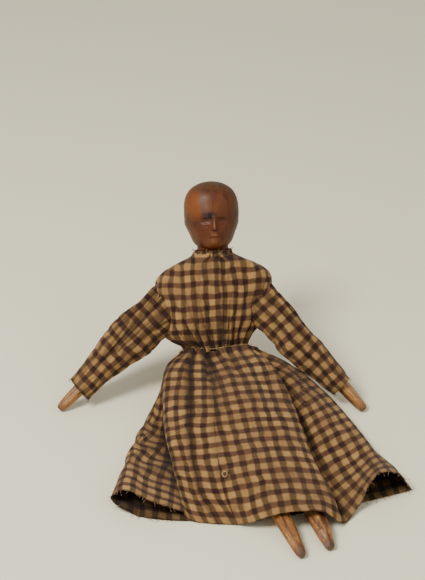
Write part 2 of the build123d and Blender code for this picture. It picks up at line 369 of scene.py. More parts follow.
def head_varnish():
    """Old varnish over the grain, with a burn by the right brow and a grey streak above it, and painted light
    and shade: a lit patch high on the left, shade in the eye sockets, and highlights on the nose and chin.
    """
    material, tree, shader = new_material("head_varnish")
    grain, _, coords = grained(tree, torso_up, (0.105, 0.027, 0.0035), (0.07, 0.014, 0.0025),
                               (0.045, 0.0095, 0.002))
    face = mapped(tree, coords, "TEXTURE", Location=on_torso(0, CHIN_LEVEL + FACE_START, 0),
                  Rotation=(-atan2(torso_up.y, torso_up.z), 0, 0))
    reach = 3.0
    across, depth, height = wobbled(tree, face, 160, 2, reach * MM, 0)
    front = math_node(tree, "LESS_THAN", depth, 0.0)

    def patch(x, z, wide, tall, weight):
        """A soft oval on the face, in mm. The noise moves it by half its reach on average."""
        dx = math_node(tree, "MULTIPLY_ADD", across, 1 / (wide * MM), -(x + reach / 2) / wide)
        dz = math_node(tree, "MULTIPLY_ADD", height, 1 / (tall * MM), -(z + reach / 2) / tall)
        away = math_node(tree, "MULTIPLY_ADD", dx, dx, math_node(tree, "MULTIPLY", dz, dz))
        oval = math_node(tree, "MAXIMUM", math_node(tree, "SUBTRACT", 1, away), 0)
        return math_node(tree, "MULTIPLY", math_node(tree, "MULTIPLY", oval, front), weight)

    colour = grain.outputs["Colour"]
    marks = [                                # across, up, half width, half height, strength, colour
        # painted light: the first oval brightens the upper left of the head, where the key light falls
        (-13, 32, 9, 13, 0.8, (0.2, 0.052, 0.005)), (4, 30, 12, 11, 0.55, (0.125, 0.033, 0.004)),
        (0, 38, 5, 5, 0.5, (0.09, 0.018, 0.01)), (0, 14, 15, 10, 0.5, (0.075, 0.013, 0.002)),
        (-7.5, 34, 3.2, 13, 0.5, (0.055, 0.03, 0.026)), (-4, 24, 7, 4, 0.9, (0.03, 0.011, 0.014)),
        # painted shade: the ovals at (-5.5, 20.4) and (5.5, 21) darken the eye sockets
        (-2.6, 23.4, 2.5, 3.2, 1.0, (0.003, 0.002, 0.004)), (-5.5, 20.4, 4.5, 1.6, 0.5, (0.04, 0.013, 0.006)),
        # painted highlight: the oval at (0.3, 17.5) runs along the ridge of the nose
        (5.5, 21, 5, 1.7, 0.5, (0.05, 0.015, 0.006)), (0.3, 17.5, 0.9, 5, 0.5, (0.3, 0.14, 0.05)),
        # painted highlight: the oval at (0, 5) lies on the chin
        (0, 9.9, 3.4, 1.9, 0.6, (0.2, 0.09, 0.025)), (0, 5, 5, 3, 0.4, (0.17, 0.06, 0.01)),
    ]
    for x, z, wide, tall, weight, tint in marks:
        colour = mix_colour(tree, patch(x, z, wide, tall, weight), colour, tint)
    sides = ramp(tree, math_node(tree, "ABSOLUTE", across), 0.013, 0.021, 0.6)
    colour = mix_colour(tree, sides, colour, (0.05, 0.024, 0.006))
    crown = ramp(tree, height, 0.04, 0.05, 0.65)
    colour = mix_colour(tree, crown, colour, (0.055, 0.03, 0.011))
    tree.links.new(colour, shader.inputs["Base Color"])
    rough = math_node(tree, "MULTIPLY_ADD", grain.outputs["Roughness"], 0.5, 0.26)
    tree.links.new(rough, shader.inputs["Roughness"])
    shader.inputs["Specular IOR Level"].default_value = 0.32
    add_bump(tree, shader, grain.outputs["Height"], 0.3, 0.0002)
    return material


head = finish_piece("head_carving", head_mesh, head_varnish(), "head")
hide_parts("head")


# ---------------------------------------------------------------- arms and legs
# Sticks whittled with long knife strokes, so that they are many-sided rather than round.
# Their hands and feet are plain blunt points, rubbed dark, with the stain worn through.
KNIFE_FLATS = 9                              # sides of a whittled stick
KNIFE_EDGE = 0.42                            # width of its eased edges


def whittled_stick(stations, seed, place):
    """Rings of a few flats, joined and eased. A station is a distance, a half width,
    a half depth and how far the middle has dropped."""
    mesh = bmesh.new()
    rings = []
    for distance, wide, deep, drop in stations:
        ring = bmesh.ops.create_circle(mesh, segments=KNIFE_FLATS, radius=1, cap_ends=False)["verts"]
        for index, vert in enumerate(ring):
            wander = 1 + 0.07 * noise.noise(Vector((index * 3.1, distance * 0.02, seed)))
            angle = 2 * pi * (index + 0.25 * sin(index * 2.3 + seed)) / KNIFE_FLATS
            vert.co = (wide * wander * cos(angle), deep * wander * sin(angle) + drop, distance)
        rings.append(ring)
    edges = []
    for ring in rings:
        edges.append([mesh.edges.get((ring[i], ring[i - 1])) for i in range(KNIFE_FLATS)])
    for lower, upper in zip(edges, edges[1:]):
        bmesh.ops.bridge_loops(mesh, edges=lower + upper)
    for ring in (edges[0], edges[-1]):
        bmesh.ops.contextual_create(mesh, geom=ring)
    bmesh.ops.recalc_face_normals(mesh, faces=mesh.faces)
    bmesh.ops.bevel(mesh, geom=mesh.edges, offset=KNIFE_EDGE, offset_type="OFFSET", segments=2,
                    profile=0.5, affect="EDGES", material=-1)
    for vert in mesh.verts:
        vert.co = place(vert.co)
    return mesh


def stained_wood(name, along, tip, reach):
    """Brown stain worn through to pale wood, and a dark tip. reach is where the wear ends."""
    material, tree, shader = new_material(name)
    grain, vector, coords = grained(tree, along, (0.33, 0.14, 0.035), (0.22, 0.08, 0.018),
                                    (0.05, 0.02, 0.008))
    offset = tree.nodes.new("ShaderNodeVectorMath")
    offset.operation = "DISTANCE"
    offset.inputs[1].default_value = tip
    tree.links.new(coords, offset.inputs[0])
    mottled = noise_node(tree, mapped(tree, vector, Scale=(1, 1, 0.09)), 420, 4, 0.65)
    near = math_node(tree, "MULTIPLY_ADD", mottled, -1.6 * reach, offset.outputs["Value"])
    tip_dirt = math_node(tree, "SUBTRACT", 1, ramp(tree, near, -0.75 * reach, 0.12 * reach))
    worn = ramp(tree, mottled, 0.57, 0.64, 0.75)
    dark_streaks = ramp(tree, mottled, 0.5, 0.4, 0.8)
    colour = mix_colour(tree, worn, grain.outputs["Colour"], (0.5, 0.27, 0.09))
    colour = mix_colour(tree, dark_streaks, colour, (0.06, 0.02, 0.01))
    colour = mix_colour(tree, math_node(tree, "MULTIPLY", tip_dirt, 0.85), colour, (0.05, 0.026, 0.018))
    tree.links.new(colour, shader.inputs["Base Color"])
    tree.links.new(grain.outputs["Roughness"], shader.inputs["Roughness"])
    shader.inputs["Coat Weight"].default_value = 0.02
    add_bump(tree, shader, grain.outputs["Height"], 0.5, 0.0003)
    return material


def laid_along(pin, across, through, line):
    """A function that lays a point on a limb: across it, through it and along it, in mm."""
    return lambda point: pin + (across * point.x + through * point.y + line * point.z) * MM


def carve_limb(limb, side, stations, seed, tenon, place, line, tip, wear):
    """A limb and the flat tenon at its joint: the tenon's width, depth, length and middle."""
    stick = whittled_stick(stations, seed, place)
    wide, deep, long, middle = tenon
    for vert in bmesh.ops.create_cube(stick, size=1)["verts"]:
        vert.co = place(Vector((vert.co.x * wide, vert.co.y * deep, middle + vert.co.z * long)))
    stain = stained_wood(f"{limb}_stain_{side}", line, tip, wear)
    body = f"{limb}_{side}"
    carving = finish_piece(f"{limb}_carving_{side}", stick, stain, body, smooth=False)
    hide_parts(body)


ARM_TENON = (8.8, 4.6, 16, 4)
LEG_TENON = (8.6, 4.1, 18, 5)
SOLE_DROP = 7                                # the foot's tip lies lower than the leg's own line

for side, out in SIDES.items():
    pin, line, length = arm_line(side)
    hinge = Vector(joints[f"arm_spread_{side}"]["axis"]).normalized()
    stations = [
        (11, 5.4, 5.2, 0), (34, 5.6, 5.4, 0), (60, 5.3, 5.2, 0), (82, 4.9, 4.7, 0), (98, 5.0, 4.6, 0),
        (108, 4.9, 4.2, 0), (length - 6, 4.1, 3.4, 0), (length - 1.6, 3.2, 2.6, 0),
        (length - 0.2, 2.0, 1.5, 0),
    ]
    tip = pin + line * (length * MM)
    carve_limb("arm", side, stations, 4.0 + out, ARM_TENON, laid_along(pin, line.cross(hinge), hinge, line),
               line, tip, 0.006)

for side, out in SIDES.items():
    pin = Vector(joints[f"leg_splay_{side}"]["pos_m"])
    low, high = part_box(f"leg_{side}")
    upright = Vector((0, 0, 1))
    foot = Vector((high.x - 0.0034, low.y + 0.0012, pin.z))
    line = (foot - pin).normalized()
    length = (foot - pin).length / MM + 2
    stations = [
        (13, 6.0, 6.0, 0), (60, 6.5, 6.4, -1.0), (110, 6.6, 6.5, -1.8), (150, 6.6, 6.4, -2.5),
        (166, 6.2, 5.6, -3.7), (180, 5.3, 4.7, -5.2), (length - 7, 4.3, 3.9, -6.7),
        (length - 2, 3.5, 3.1, -7.5), (length, 2.4, 2.0, -7.9),
    ]
    tip = pin + line * (length * MM) - upright * (SOLE_DROP * MM)
    carve_limb("leg", side, stations, 11.0 + 5 * out, LEG_TENON,
               laid_along(pin, upright.cross(line), upright, line), line, tip, 0.009)


# ---------------------------------------------------------------- gingham
# Thin plain-weave cotton in three-eighths checks, tan and dark brown, faded and soft.
# Dark plum thread crosses dark grey-brown thread, so the crossings are darkest.
CHECK = 9.2                                  # from one dark stripe to the next
YARN = 0.42                                  # from one thread to the next but one


def gingham_group():
    """The cloth for flat coordinates in metres, across and along."""
    tree, given, out = group_sockets(
        "gingham",
        [("Flat", "NodeSocketVector", None)],
        [("Colour", "NodeSocketColor"), ("Height", "NodeSocketFloat")],
    )
    bands, threads = [], []
    for way in wobbled(tree, given.outputs["Flat"], 70, 3, 0.0045, 0.5)[:2]:
        checks = math_node(tree, "MULTIPLY", way, 1 / (CHECK * MM))
        bands.append(ramp(tree, math_node(tree, "PINGPONG", checks, 0.5), 0.195, 0.345))
        yarns = math_node(tree, "MULTIPLY", way, 2 * pi / (YARN * MM))
        threads.append(math_node(tree, "SINE", yarns))
    over = math_node(tree, "MULTIPLY", threads[0], threads[1])
    fade = noise_node(tree, given.outputs["Flat"], 60, 5, 0.65)
    light = mix_colour(tree, ramp(tree, fade, 0.3, 0.7), (0.43, 0.25, 0.088), (0.27, 0.143, 0.056))
    strength = math_node(tree, "MULTIPLY_ADD", fade, -0.7, 1.08)
    warp_share = math_node(tree, "MULTIPLY", bands[0], math_node(tree, "MULTIPLY_ADD", over, 0.12, strength))
    weft_share = math_node(tree, "MULTIPLY", bands[1], math_node(tree, "MULTIPLY_ADD", over, -0.12, strength))
    colour = mix_colour(tree, warp_share, light, (0.03, 0.017, 0.009))
    colour = mix_colour(tree, weft_share, colour, (0.034, 0.007, 0.012))
    crossing = math_node(tree, "MULTIPLY", warp_share, weft_share)
    colour = mix_colour(tree, math_node(tree, "MULTIPLY", crossing, 0.9), colour, (0.012, 0.005, 0.005))
    dust = noise_node(tree, given.outputs["Flat"], 16, 3)
    colour = mix_colour(tree, ramp(tree, dust, 0.45, 0.75, 0.42), colour, (0.085, 0.045, 0.028))
    tree.links.new(colour, out.inputs["Colour"])
    tree.links.new(over, out.inputs["Height"])
    return tree


GINGHAM = gingham_group()


def gingham_cloth(name, shift, shade=1.0):
    """Gingham with its checks shifted by mm, and shaded for the inside of a piece."""
    material, tree, shader = new_material(name)
    flat = tree.nodes.new("ShaderNodeUVMap")
    flat.uv_map = "weave"
    place = mapped(tree, flat.outputs[0], Location=(shift[0] * MM, shift[1] * MM, 0))
    cloth = tree.nodes.new("ShaderNodeGroup")
    cloth.node_tree = GINGHAM
    tree.links.new(place, cloth.inputs["Flat"])
    colour = mix_colour(tree, 1.0, cloth.outputs["Colour"], (shade, shade, shade), "MULTIPLY")
    # painted shade: the crease attribute darkens the cloth in its creases and hollows
    crease = tree.nodes.new("ShaderNodeAttribute")
    crease.attribute_name = "crease"
    crease_shade = math_node(tree, "MULTIPLY", crease.outputs["Fac"], 0.8)
    colour = mix_colour(tree, crease_shade, colour, (0.014, 0.007, 0.006))
    tree.links.new(colour, shader.inputs["Base Color"])
    shader.inputs["Roughness"].default_value = 0.92
    shader.inputs["Sheen Weight"].default_value = 0.06
    shader.inputs["Specular IOR Level"].default_value = 0.15
    crumple = noise_node(tree, place, 150, 5, 0.6)
    height = math_node(tree, "MULTIPLY_ADD", cloth.outputs["Height"], 0.06, crumple)
    add_bump(tree, shader, height, 0.55, 0.0016)
    return material


def woven_grid(around, along, place, flat):
    """A tube of cloth: columns go round it and rows go along it. place gives the point for
    a column and row and how much painted shade darkens it there, in its creases and
    hollows. flat gives its place on the cut cloth, for the face in a given column."""
    mesh = bmesh.new()
    bmesh.ops.create_grid(mesh, x_segments=around, y_segments=along, size=1, calc_uvs=False)
    weave = mesh.loops.layers.uv.new("weave")
    shade_layer = mesh.verts.layers.float.new("crease")
    spots = {vert: (round((vert.co.x + 1) / 2 * around), round((vert.co.y + 1) / 2 * along))
             for vert in mesh.verts}
    for face in mesh.faces:
        first = min(spots[vert][0] for vert in face.verts)
        for loop in face.loops:
            across, down = flat(*spots[loop.vert], first)
            loop[weave].uv = (across * MM, down * MM)
    for vert, spot in spots.items():
        vert.co, crease = place(*spot)
        vert[shade_layer] = min(1, max(0, crease))
    bmesh.ops.remove_doubles(mesh, verts=mesh.verts, dist=1e-6)
    bmesh.ops.recalc_face_normals(mesh, faces=mesh.faces)
    return mesh


def thicken(piece, thickness, lining=None):
    modifier = piece.modifiers.new("thickness", "SOLIDIFY")
    modifier.thickness = thickness * MM
    modifier.offset = -1
    if lining:
        piece.data.materials.append(lining)
        modifier.material_offset = 1


def distances_along(points):
    """The distance along a line of points to each of them."""
    travelled = [0.0]
    for first, second in zip(points, points[1:]):
        travelled.append(travelled[-1] + (second - first).length)
    return travelled


# ---------------------------------------------------------------- skirt
# A long skirt gathered into the waist and seamed at the sides. Its back lies flat under
# the legs. Its front falls over them in a wide panel, between a deep fold at each side.
# Each line runs down the cloth from waist to hem, in millimetres. Sharp folds are marked.
SKIRT_LINES = [
    ("sharp", (24, 11, 27), (52, 14, 8), (77, -20, 1), (89, -57, 1),
     (101, -97, 1), (111, -117, 1), (117, -134, 1)),
    ("soft", (17, 20, 25), (27, 24, 9), (34, 14, 0.9), (54, -28, 0.7),
     (68, -78, 0.7), (78, -116, 0.7), (86, -142, 0.7)),
    ("soft", (0, 22, 24), (0, 27, 9), (0, 18, 0.9), (0, -35, 0.7),
     (0, -90, 0.7), (0, -130, 0.7), (0, -152, 0.7)),
    ("soft", (-17, 20, 25), (-26, 24, 9), (-30, 15, 0.9), (-42, -28, 0.7),
     (-55, -78, 0.7), (-63, -113, 0.7), (-70, -141, 0.7)),
    ("soft", (-25, 9, 28), (-36, 13, 12), (-46, -11, 2), (-57, -36, 1),
     (-69, -70, 2), (-79, -103, 5), (-87, -131, 9)),
    ("soft", (-24.5, 7, 30), (-35, 6, 22), (-44, -15, 15), (-54, -42, 9),
     (-66, -77, 12), (-75, -109, 15), (-80, -134, 17)),
    ("soft", (-23.5, 5, 31), (-34, 3, 25), (-43, -18, 18), (-50, -48, 8),
     (-56, -84, 10), (-61, -116, 13), (-62, -143, 15)),
    ("sharp", (-22.5, 4, 31), (-33, 2, 27), (-43.5, -22, 22), (-45, -45, 10),
     (-43, -78, 4), (-41, -113, 4), (-40, -147, 6)),
    ("soft", (-21, 3, 33), (-31, -6, 31), (-42, -35, 27), (-44, -62, 19),
     (-43, -96, 14), (-40, -126, 10), (-35, -150, 2)),
    ("sharp", (-19, 2, 35), (-23, -13, 34), (-27, -46, 32), (-31, -82, 27),
     (-31, -112, 19), (-28, -136, 12), (-18, -155, 1)),
    ("sharp", (-12, -1, 36), (-12, -15, 34), (-10, -47, 33), (-12, -87, 28),
     (-13, -115, 20), (-11, -140, 11), (-5, -157, 1)),
    ("soft", (-2, -4, 38), (0, -22, 38), (3, -63, 37), (5, -103, 32),
     (6, -132, 26), (4, -152, 17), (1, -161, 4.5)),
    ("soft", (10, -3, 38), (15, -22, 38), (20, -64, 37), (23, -104, 31),
     (26, -135, 25), (28, -155, 20), (29, -168, 17.5)),
    ("soft", (18, 0, 37), (25, -16, 37), (34, -54, 34), (40, -95, 29),
     (43, -130, 23), (46, -152, 19.5), (49, -168, 16.5)),
    ("soft", (22, 2, 35), (31, -12, 35), (42, -47, 32), (48, -90, 26),
     (54, -127, 20), (60, -150, 14), (64, -165, 3)),
    ("sharp", (23, 3, 32), (32, -10, 28), (41, -43, 19), (46, -81, 11),
     (51, -116, 6), (58, -144, 3), (67, -162, 1)),
    ("soft", (24.5, 4, 32), (42, -8, 26), (60, -42, 20), (70, -82, 16),
     (77, -118, 10), (76, -142, 7), (77, -152, 5)),
    ("soft", (25, 6, 30), (49, -1, 21.5), (73, -33, 15), (86, -72, 13),
     (93, -108, 15), (92, -131, 20), (90, -143, 24)),
    ("soft", (25, 8, 29), (52, 5, 15.5), (77, -27, 8.5), (89, -61, 8),
     (100, -102, 9), (106, -124, 14), (107, -136, 17)),
]
# Where a panel or a fold begins, counted from the fold on the floor at the doll's left, and
# the line of each panel that keeps its threads straight.
LEFT_EDGE, RIGHT_EDGE, RIGHT_VALLEY, FRONT_EDGE, PLEAT, NEXT_PLEAT, LEFT_VALLEY = 0, 4, 7, 8, 9, 10, 15
SKIRT_ANCHORS = {LEFT_EDGE: 2, RIGHT_EDGE: 5, RIGHT_VALLEY: 8, PLEAT: 9, NEXT_PLEAT: 12, LEFT_VALLEY: 18}
PLEAT_FADES = {PLEAT: 1.6, NEXT_PLEAT: 0.5}  # how far down each pleat stays pressed
SKIRT_LENGTH = 168.0
SKIRT_ROWS = 120
SKIRT_COLUMN = 1.35                          # widest column, at the hem
SKIRT_GATHER, SKIRT_RIPPLE = 9.1, 23         # from one gather to the next, and one ripple
SKIRT_DRAWN_IN = 0.06                        # share of the hem's width that the waist takes up
MOTH_HOLE = (-8.3, -127)
MOTH_HOLE_RADIUS = 1.6
TEAR_TOP, TEAR_FOOT = -14, -54
LINE_PARTS = 12                              # steps that a line is smoothed in, for each point


def slope_at(before, here, after):
    """The slope of a smooth curve at a point, for each unit of distance along it."""
    back, ahead = (here - before).length or 1e-9, (after - here).length or 1e-9
    return ((here - before) / back * ahead + (after - here) / ahead * back) / (back + ahead)


def between(start, end, slope_start, slope_end, share):
    """A smooth curve from start to end."""
    length = (end - start).length
    square, cube = share ** 2, share ** 3
    return (start * (2 * cube - 3 * square + 1) + slope_start * length * (cube - 2 * square + share)
            + end * (3 * square - 2 * cube) + slope_end * length * (cube - square))


def spread_along(points, count):
    """A smooth line through the points, as count + 1 points evenly apart."""
    ends = [points[0] * 2 - points[1], *points, points[-1] * 2 - points[-2]]
    slopes = [slope_at(*ends[i:i + 3]) for i in range(len(points))]
    fine = []
    for index in range(len(points) - 1):
        start, end = points[index:index + 2]
        for part in range(LINE_PARTS):
            fine.append(between(start, end, slopes[index], slopes[index + 1], part / LINE_PARTS))
    fine.append(points[-1])
    distances = distances_along(fine)
    even, place = [], 0
    for row in range(count + 1):
        target = distances[-1] * row / count
        while place < len(fine) - 2 and distances[place + 1] < target:
            place += 1
        share = (target - distances[place]) / (distances[place + 1] - distances[place])
        even.append(fine[place].lerp(fine[place + 1], min(1, share)))
    return even


falls = [spread_along([Vector(point) for point in line[1:]], SKIRT_ROWS) for line in SKIRT_LINES]
count = len(falls)
hem_steps = [(falls[(i + 1) % count][-1] - falls[i][-1]).length for i in range(count)]
skirt_columns = []                           # each column's line, and its share of the way to the next
first_column = []
for index, width in enumerate(hem_steps):
    first_column.append(len(skirt_columns))
    parts = max(5, round(width / SKIRT_COLUMN))
    skirt_columns += [(index, part / parts) for part in range(parts)]
skirt_columns.append((0, 0.0))
first_column.append(len(skirt_columns) - 1)
skirt_rings = []
for row in range(SKIRT_ROWS + 1):
    ring = [fall[row] for fall in falls]
    smooth = [slope_at(ring[i - 1], ring[i], ring[(i + 1) % count]) for i in range(count)]
    points = []
    for index, share in skirt_columns:
        follower = (index + 1) % count
        straight = (ring[follower] - ring[index]).normalized()
        start = straight if SKIRT_LINES[index][0] == "sharp" else smooth[index]
        end = straight if SKIRT_LINES[follower][0] == "sharp" else smooth[follower]
        points.append(between(ring[index], ring[follower], start, end, share))
    skirt_rings.append(points)
skirt_arcs = [distances_along(ring) for ring in skirt_rings]


def tear_line(y):
    """Where the tear in the left side runs, from its top to its foot."""
    return 58.8 + 0.07 * (y + 18) + 0.6 * sin(y / 3)


def skirt_place(column, row):
    """A point of the skirt as it lies, with its gathers, pleats and wrinkles, and the painted shade in its
    creases and hollows.
    """
    point = skirt_rings[row][column]
    line_here = skirt_columns[column][0]
    along = row / SKIRT_ROWS
    flat_across = skirt_arcs[-1][column % (len(skirt_columns) - 1)]
    down = along * SKIRT_LENGTH
    outward = Vector((point.x * 0.7, point.y * 0.35 + 4, 14)).normalized()
    gather = sin(2 * pi * flat_across / SKIRT_GATHER + 1.5 * sin(flat_across / 17))
    lift = 0.6 * exp(-along / 0.06) * gather
    crease = 0.7 * max(0, -gather) ** 2 * exp(-along / 0.07)
    ripple = sin(2 * pi * flat_across / SKIRT_RIPPLE + 0.6 + 2 * along + 0.8 * sin(along * 9))
    lift += 1.1 * exp(-along / 0.25) * ripple
    crease += 0.12 * max(0, -ripple) ** 6 * exp(-along / 0.25)
    lift += 1.5 * bulge(down, 2.2, 1.8)      # the stitched top edge stands up a little
    # painted shade along the waist seam
    crease += 0.9 * bulge(down, -0.2, 1.1)
    settle = min(1, along * 6)
    lift += settle * 1.9 * noise.noise(Vector((flat_across / 24, along * 3.6, 3.7)))
    crumple = noise.noise(Vector((flat_across / 15 + along * 5, along * 5, 8.1)))
    lift -= settle * 0.8 * exp(-abs(crumple) / 0.1)
    crease += settle * 0.3 * exp(-abs(crumple) / 0.05)
    for line, kind in enumerate(SKIRT_LINES):
        if kind[0] != "sharp" or line == LEFT_EDGE:
            continue
        away = flat_across - skirt_arcs[-1][first_column[line]]
        if line in PLEAT_FADES:              # pressed flat from the waist
            away /= 1 + 2.4 * exp(-along / 0.22)
            fading = 2.0 * exp(-along / PLEAT_FADES[line])
            if -9 < away < 0:
                lift += fading * (1 + away / 9)
            elif 0 <= away < 6:
                lift -= fading * (1 - away / 6)
            crease += 1.1 * fading * exp(-abs(away - 0.6) / 0.8)
        else:
            crease += 0.75 * settle * exp(-abs(away) / 3.5)
    if RIGHT_EDGE <= line_here < RIGHT_VALLEY:   # slanting drags in the fold below the right hip, with painted shade in their troughs
        drag = sin(down / 4.3 + flat_across / 5)
        lift += 1.9 * drag * bulge(along, 0.62, 0.2)
        crease += 0.6 * max(0, -drag) ** 3 * bulge(along, 0.62, 0.2)
        behind = skirt_arcs[-1][first_column[RIGHT_VALLEY]] - flat_across    # painted shade under the front panel
        crease += 0.75 * exp(-behind / 12) * bulge(along, 0.55, 0.2)
    if point.z > 5:                          # painted shade darkens the cloth round the moth hole, inside its bare edge
        from_hole = hypot(point.x - MOTH_HOLE[0], point.y - MOTH_HOLE[1])
        crease += 1.3 * (1 - step(from_hole, MOTH_HOLE_RADIUS, 3.4))
    if line_here in (RIGHT_EDGE - 1, RIGHT_EDGE):            # painted shade near the hem where it lies on the floor, under the overhanging fold
        crease += 0.6 * step(along, 0.78, 0.97)
    if TEAR_FOOT < point.y < TEAR_TOP and point.z > 8:       # an old tear, drawn together, with painted shade along its sunken line
        tear = point.x - tear_line(point.y)
        crease += 0.8 * exp(-abs(tear) / 0.8)
        lift -= 0.7 * exp(-abs(tear) / 1.2)
    raised = point + outward * lift * min(1, max(0, point.z - 0.4) / 4)
    raised.z = max(raised.z, 0.6 + 0.3 * (1 - along))
    return raised * MM, crease


def skirt_flat(column, row, first):
    """Each panel keeps its own straight threads, and pleats hide the rest at its edges."""
    panel = max(line for line in SKIRT_ANCHORS if line <= skirt_columns[first][0])
    anchor = first_column[SKIRT_ANCHORS[panel]]
    arcs, hem = skirt_arcs[row], skirt_arcs[-1]
    true = arcs[column] - arcs[anchor]
    full = hem[column] - hem[anchor]
    along = row / SKIRT_ROWS
    across = hem[anchor] + true * (1 - SKIRT_DRAWN_IN) + full * SKIRT_DRAWN_IN
    return across, SKIRT_LENGTH * (along - 0.06 * (1 - exp(-along / 0.25)))


skirt_mesh = woven_grid(len(skirt_columns) - 1, SKIRT_ROWS, skirt_place, skirt_flat)
hole = min((vert.co for vert in skirt_mesh.verts if vert.co.z > 10 * MM),
           key=lambda co: hypot(co.x - MOTH_HOLE[0] * MM, co.y - MOTH_HOLE[1] * MM)).copy()
eaten = [face for face in skirt_mesh.faces
         if (face.calc_center_median() - hole).length < MOTH_HOLE_RADIUS * MM]
bmesh.ops.delete(skirt_mesh, geom=eaten, context="FACES")
skirt_surface = BVHTree.FromBMesh(skirt_mesh)
SKIRT_SHIFT = (2.5, 1.0)
skirt = finish_piece("skirt", skirt_mesh, gingham_cloth("skirt_gingham", SKIRT_SHIFT), None)
thicken(skirt, 0.5, gingham_cloth("skirt_inside", SKIRT_SHIFT, 0.4))
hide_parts("skirt_front", "skirt_back")
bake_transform(skirt)


# ---------------------------------------------------------------- bodice
# A loose blouse in a front and a back piece, seamed over the shoulders, gathered to the
# neck and to the waist, and lapped down the middle of the front where it was sewn shut.
# Its right side is caught up in the deep armhole, lower than the left.
BODICE_PROFILE = [                           # level, half width at the right and at the left, depths
    (20.5, 23.0, 20.5, 13.8, 13.8), (24, 26.5, 22.5, 15.4, 14.6), (27, 32.0, 24.5, 16.8, 15.4),
    (31, 38.5, 27.0, 18.0, 16.4), (36, 41.0, 30.0, 19.2, 17.4), (46, 41.5, 34.5, 20.0, 18.0),
    (57, 43.0, 39.0, 19.4, 18.0), (66, 44.0, 42.5, 18.2, 17.2), (72, 44.0, 43.0, 17.2, 16.4),
    (76, 42.0, 41.5, 16.6, 15.8), (80, 37.5, 37.5, 16.0, 15.4), (84, 30.5, 30.5, 15.6, 15.0),
    (87, 24.0, 23.5, 15.0, 14.6), (90.5, 16.2, 16.0, 14.4, 14.1), (93.2, 13.8, 13.8, 13.6, 13.6),
]
BODICE_FOLDS = [                             # across at the waist, across at the top, top level, depth
    (-2.5, -9, 60, 1.5), (-5.5, -16, 70, 1.9), (-9, -24, 64, 2.0), (-12.5, -31, 58, 1.9), (-16, -38, 50, 1.8),
    (-19, -42, 40, 1.7), (1, 4, 52, 1.2), (5, 10, 66, 1.6), (9, 16, 72, 1.7), (13, 23, 62, 1.7),
    (16, 29, 54, 1.7), (19, 33, 48, 1.6), (22, 37, 78, 0.9),
]
BODICE_LOW, BODICE_HIGH, CHEST = BODICE_PROFILE[0][0], BODICE_PROFILE[-1][0], 70.0
BODICE_NECK = BODICE_PROFILE[-1][1]
BODICE_ROWS, BODICE_COLUMNS = 110, 300
BODICE_STEP = 0.5                            # levels that the profile is worked out for
YOKE_DRAWN_IN = 0.06                         # share of the chest's width lost towards the neck
WAIST_GATHERS, WAIST_RIPPLES = 19, 13        # round the bodice
LAP_COLUMN, LAP_SHIFT = 147, 4.1             # the front edge on top, and how far its checks are out
BODICE_SHIFT = (0.8, 3.0)


def profile_at(profile, level):
    """The profile's numbers at a level, eased a little between its stations."""
    total = [0.0] * (len(profile[0]) - 1)
    for nudge in (-1.2, 0, 1.2):
        wanted = min(max(level + nudge, profile[0][0]), profile[-1][0])
        for lower, upper in zip(profile, profile[1:]):
            if wanted <= upper[0]:
                share = (wanted - lower[0]) / (upper[0] - lower[0])
                total = [t + (a + (b - a) * share) / 3 for t, a, b in zip(total, lower[1:], upper[1:])]
                break
    return total


level_count = int((BODICE_HIGH - BODICE_LOW) / BODICE_STEP) + 2
bodice_levels = [profile_at(BODICE_PROFILE, BODICE_LOW + BODICE_STEP * i) for i in range(level_count)]


def bodice_section(level):
    place = min(max((level - BODICE_LOW) / BODICE_STEP, 0), level_count - 1.01)
    lower, upper = bodice_levels[int(place)], bodice_levels[int(place) + 1]
    return [a + (b - a) * (place % 1) for a, b in zip(lower, upper)]


def drawn_in(half_width, level):
    return half_width * (1 - YOKE_DRAWN_IN * step(level, CHEST, 90))


def bodice_base(column, row):
    """Across, level and forward, before any wrinkles."""
    angle = 2 * pi * column / BODICE_COLUMNS             # from the middle of the back
    side, forward = sin(angle), -cos(angle)
    which = 1 if side > 0 else 0
    chest = bodice_section(CHEST)[which]
    share = abs(side) ** 0.82
    yoke = share * chest * (1 - YOKE_DRAWN_IN)
    top = BODICE_HIGH
    if yoke > BODICE_NECK:                   # this column ends at the shoulder seam
        top = CHEST
        while top < BODICE_HIGH and bodice_section(top)[which] > drawn_in(share * chest, top):
            top += 0.25
    rising = 1 - (1 - row / BODICE_ROWS) ** 1.5
    level = BODICE_LOW + (top - BODICE_LOW) * rising
    section = bodice_section(level)
    wide = section[which]
    if level < CHEST:
        x = share * wide
    else:
        x = min(wide, drawn_in(share * chest, level))
    if top == BODICE_HIGH and level > CHEST:
        x = min(x, yoke + (wide * share - yoke) * step(level, 84, 93))
    depth = section[2 if forward > 0 else 3] * max(0, 1 - (x / wide) ** 2.44) ** 0.41
    return Vector((x if side > 0 else -x, level, depth if forward > 0 else -depth))


bodice_rings = [[bodice_base(column, row) for column in range(BODICE_COLUMNS + 1)]
                for row in range(BODICE_ROWS + 1)]
bodice_arcs = [distances_along(ring) for ring in bodice_rings]


